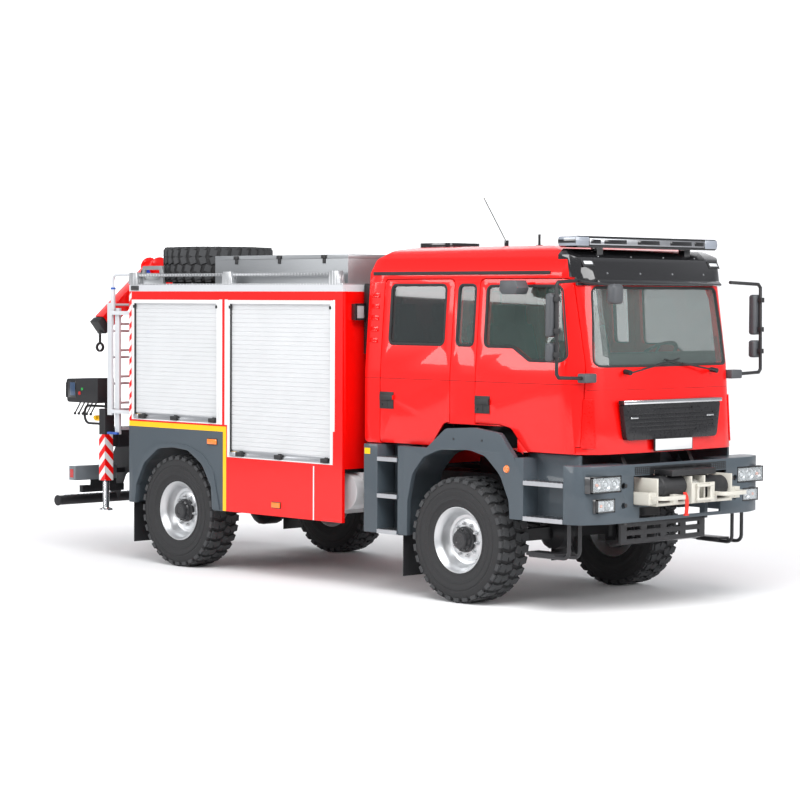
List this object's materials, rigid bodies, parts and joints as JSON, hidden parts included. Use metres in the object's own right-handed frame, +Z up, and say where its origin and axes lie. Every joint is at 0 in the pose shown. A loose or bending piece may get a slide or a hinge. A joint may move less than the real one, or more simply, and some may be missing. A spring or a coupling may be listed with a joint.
{
  "type": "rescue truck",
  "caption": "Rescue truck with crew cab, shuttered locker body, roof boxes, front winch and rear loading crane with stabilisers, on a two-axle all-terrain chassis.",
  "frame": {"origin": "on the ground under the middle of the truck", "axes": "+X to the truck's left, +Y rearwards, +Z up"},
  "size_m": [2.91, 8, 3.6527],
  "materials": {
    "red_paint": "gloss",
    "grey_paint": "satin",
    "black_plastic": "matte",
    "gloss_black": "gloss",
    "chassis_paint": "satin",
    "aluminium": "satin",
    "chrome": "polished",
    "winch_paint": "satin",
    "tyre": "matte",
    "glass": "gloss",
    "lens": "gloss",
    "seat_cloth": "woven"
  },
  "bodies": {
    "chassis": {"chassis_frame": "chassis_paint", "axles": "chassis_paint", "engine_and_driveline": "chassis_paint", "side_tanks": "aluminium", "front_bumper": "grey_paint", "winch": "winch_paint", "lamps": "lens", "front_fenders": "grey_paint", "air_intake": "black_plastic", "body_shell": "red_paint", "shutter_frames": "aluminium", "arch_panels": "grey_paint", "roof_deck": "aluminium", "spare_wheel": "tyre", "ladder": "aluminium", "underrun": "chassis_paint", "crane_base": "chassis_paint"},
    "cab": {"cab_shell": "red_paint", "cab_glass": "glass", "cab_front_trim": "gloss_black", "sun_visor": "gloss_black", "roof_fittings": "gloss_black", "dashboard": "black_plastic", "seats": "seat_cloth", "mirrors": "black_plastic"},
    "front_door_left": {"front_door_left": "red_paint", "front_door_glass_left": "glass"},
    "rear_door_left": {"rear_door_left": "red_paint", "rear_door_glass_left": "glass"},
    "front_door_right": {"front_door_right": "red_paint", "front_door_glass_right": "glass"},
    "rear_door_right": {"rear_door_right": "red_paint", "rear_door_glass_right": "glass"},
    "knuckle_left": {"knuckle_left": "chassis_paint"},
    "knuckle_right": {"knuckle_right": "chassis_paint"},
    "wheel_front_left": {"wheel_front_left": "tyre"},
    "wheel_front_right": {"wheel_front_right": "tyre"},
    "wheel_rear_left": {"wheel_rear_left": "tyre"},
    "wheel_rear_right": {"wheel_rear_right": "tyre"},
    "shutter_front_left": {"shutter_bar_front_left": "aluminium", "shutter_curtain_front_left": "aluminium"},
    "shutter_rear_left": {"shutter_bar_rear_left": "aluminium", "shutter_curtain_rear_left": "aluminium"},
    "shutter_front_right": {"shutter_bar_front_right": "aluminium", "shutter_curtain_front_right": "aluminium"},
    "shutter_rear_right": {"shutter_bar_rear_right": "aluminium", "shutter_curtain_rear_right": "aluminium"},
    "roof_box_lid_left": {"roof_box_lid_left": "aluminium"},
    "roof_box_lid_right": {"roof_box_lid_right": "aluminium"},
    "crane_column": {"crane_column": "red_paint"},
    "crane_boom": {"crane_boom": "red_paint"},
    "crane_jib": {"crane_jib": "red_paint"},
    "crane_extension": {"crane_extension": "chassis_paint"},
    "lift_cylinder_barrel": {"lift_cylinder_barrel": "chassis_paint"},
    "lift_cylinder_rod": {"lift_cylinder_rod": "chrome"},
    "stabiliser_beam_left": {"stabiliser_beam_left": "chassis_paint"},
    "stabiliser_leg_left": {"stabiliser_leg_left": "chrome"},
    "stabiliser_beam_right": {"stabiliser_beam_right": "chassis_paint"},
    "stabiliser_leg_right": {"stabiliser_leg_right": "chrome"}
  },
  "joints": [
    {"name": "cab_tilt", "type": "hinge", "parent": "chassis", "child": "cab", "pos_m": [0, -3.55, 1.1], "axis": [1, 0, 0], "range_deg": [0, 45]},
    {"name": "front_door_left_hinge", "type": "hinge", "parent": "cab", "child": "front_door_left", "pos_m": [1.032, -3.438, 2], "axis": [0, 0, -1], "range_deg": [0, 65]},
    {"name": "rear_door_left_hinge", "type": "hinge", "parent": "cab", "child": "rear_door_left", "pos_m": [1.1215, -1.9575, 2], "axis": [0, 0, -1], "range_deg": [0, 65]},
    {"name": "front_door_right_hinge", "type": "hinge", "parent": "cab", "child": "front_door_right", "pos_m": [-1.032, -3.438, 2], "axis": [0, 0, 1], "range_deg": [0, 65]},
    {"name": "rear_door_right_hinge", "type": "hinge", "parent": "cab", "child": "rear_door_right", "pos_m": [-1.1215, -1.9575, 2], "axis": [0, 0, 1], "range_deg": [0, 65]},
    {"name": "steer_left", "type": "hinge", "parent": "chassis", "child": "knuckle_left", "pos_m": [0.86, -2.15, 0.565], "axis": [0, 0, 1], "range_deg": [-32, 32]},
    {"name": "steer_right", "type": "hinge", "parent": "chassis", "child": "knuckle_right", "pos_m": [-0.86, -2.15, 0.565], "axis": [0, 0, 1], "range_deg": [-32, 32]},
    {"name": "spin_front_left", "type": "hinge", "parent": "knuckle_left", "child": "wheel_front_left", "pos_m": [1.045, -2.15, 0.565], "axis": [1, 0, 0], "continuous": true},
    {"name": "spin_front_right", "type": "hinge", "parent": "knuckle_right", "child": "wheel_front_right", "pos_m": [-1.045, -2.15, 0.565], "axis": [1, 0, 0], "continuous": true},
    {"name": "spin_rear_left", "type": "hinge", "parent": "chassis", "child": "wheel_rear_left", "pos_m": [1.045, 1.8, 0.565], "axis": [1, 0, 0], "continuous": true},
    {"name": "spin_rear_right", "type": "hinge", "parent": "chassis", "child": "wheel_rear_right", "pos_m": [-1.045, 1.8, 0.565], "axis": [1, 0, 0], "continuous": true},
    {"name": "shutter_front_left_slide", "type": "slide", "parent": "chassis", "child": "shutter_front_left", "axis": [0, 0, 1], "range_m": [0, 1.4], "deforming": ["shutter_curtain_front_left"]},
    {"name": "shutter_rear_left_slide", "type": "slide", "parent": "chassis", "child": "shutter_rear_left", "axis": [0, 0, 1], "range_m": [0, 1.09], "deforming": ["shutter_curtain_rear_left"]},
    {"name": "shutter_front_right_slide", "type": "slide", "parent": "chassis", "child": "shutter_front_right", "axis": [0, 0, 1], "range_m": [0, 1.4], "deforming": ["shutter_curtain_front_right"]},
    {"name": "shutter_rear_right_slide", "type": "slide", "parent": "chassis", "child": "shutter_rear_right", "axis": [0, 0, 1], "range_m": [0, 1.09], "deforming": ["shutter_curtain_rear_right"]},
    {"name": "roof_box_lid_left_hinge", "type": "hinge", "parent": "chassis", "child": "roof_box_lid_left", "pos_m": [0.48, 0.38, 3.0973], "axis": [0, -1, 0], "range_deg": [0, 95]},
    {"name": "roof_box_lid_right_hinge", "type": "hinge", "parent": "chassis", "child": "roof_box_lid_right", "pos_m": [-0.48, 0.38, 3.0973], "axis": [0, 1, 0], "range_deg": [0, 95]},
    {"name": "crane_slew", "type": "hinge", "parent": "chassis", "child": "crane_column", "pos_m": [0, 3.2, 1.4], "axis": [0, 0, -1], "range_deg": [0, 180]},
    {"name": "crane_boom_lift", "type": "hinge", "parent": "crane_column", "child": "crane_boom", "pos_m": [0.3, 3.2, 2.35], "axis": [0, 1, 0], "range_deg": [0, 40]},
    {"name": "crane_jib_fold", "type": "hinge", "parent": "crane_boom", "child": "crane_jib", "pos_m": [-0.4, 3.2, 3.04], "axis": [0, 1, 0], "range_deg": [0, 85]},
    {"name": "crane_extension_slide", "type": "slide", "parent": "crane_jib", "child": "crane_extension", "axis": [-0.7659, 0, -0.6429], "range_m": [0, 0.75]},
    {"name": "lift_barrel_pivot", "type": "hinge", "parent": "crane_column", "child": "lift_cylinder_barrel", "pos_m": [-0.13, 3.2, 1.79], "axis": [0, 1, 0], "range_deg": [0, 18]},
    {"name": "lift_rod_slide", "type": "slide", "parent": "lift_cylinder_barrel", "child": "lift_cylinder_rod", "axis": [-0.1382, 0, 0.9904], "range_m": [0, 0.3]},
    {"name": "stabiliser_beam_left_slide", "type": "slide", "parent": "chassis", "child": "stabiliser_beam_left", "axis": [1, 0, 0], "range_m": [0, 0.7]},
    {"name": "stabiliser_leg_left_slide", "type": "slide", "parent": "stabiliser_beam_left", "child": "stabiliser_leg_left", "axis": [0, 0, -1], "range_m": [0, 0.46]},
    {"name": "stabiliser_beam_right_slide", "type": "slide", "parent": "chassis", "child": "stabiliser_beam_right", "axis": [-1, 0, 0], "range_m": [0, 0.7]},
    {"name": "stabiliser_leg_right_slide", "type": "slide", "parent": "stabiliser_beam_right", "child": "stabiliser_leg_right", "axis": [0, 0, -1], "range_m": [0, 0.46]}
  ],
  "couplings": [
    {"joint": "steer_right", "follows": "steer_left", "ratio": 1},
    {"joint": "lift_barrel_pivot", "follows": "crane_boom_lift", "ratio": 0.441},
    {"joint": "lift_rod_slide", "follows": "crane_boom_lift", "m_per_rad": 0.4208}
  ]
}
